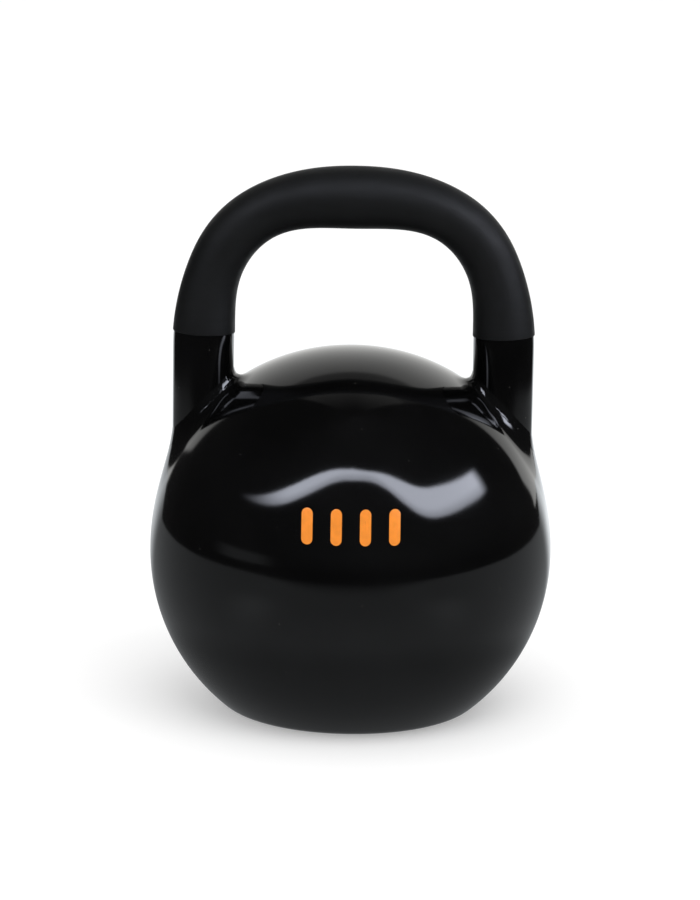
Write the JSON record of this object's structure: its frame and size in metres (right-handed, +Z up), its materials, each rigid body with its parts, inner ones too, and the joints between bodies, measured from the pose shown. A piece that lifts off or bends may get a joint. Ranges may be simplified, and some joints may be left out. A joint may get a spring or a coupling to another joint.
{
  "type": "kettlebell",
  "caption": "Ballast-filled cast ball on a flat base, with a welded arched handle bar in a thin grip sleeve, for swinging and pressing exercises.",
  "frame": {"origin": "centre of the flat base, on the surface it stands on", "axes": "+Z up through the ball and the middle of the grip; X runs along the grip from leg to leg; -Y is the front, where the weight mark is"},
  "size_m": [0.21, 0.21, 0.2855],
  "materials": {
    "ball_coat": "gloss",
    "ballast": "matte",
    "plug_steel": "satin",
    "seal_rubber": "matte",
    "bar_coat": "gloss",
    "weld_coat": "gloss",
    "sleeve_rubber": "matte",
    "mark_paint": "satin"
  },
  "bodies": {
    "root": {"ball_casting": "ball_coat", "ballast_fill": "ballast", "filler_plug": "plug_steel", "plug_seal_ring": "seal_rubber", "handle_bar": "bar_coat", "weld_bead_left": "weld_coat", "weld_bead_right": "weld_coat", "grip_sleeve": "sleeve_rubber", "weight_mark": "mark_paint"}
  },
  "joints": []
}
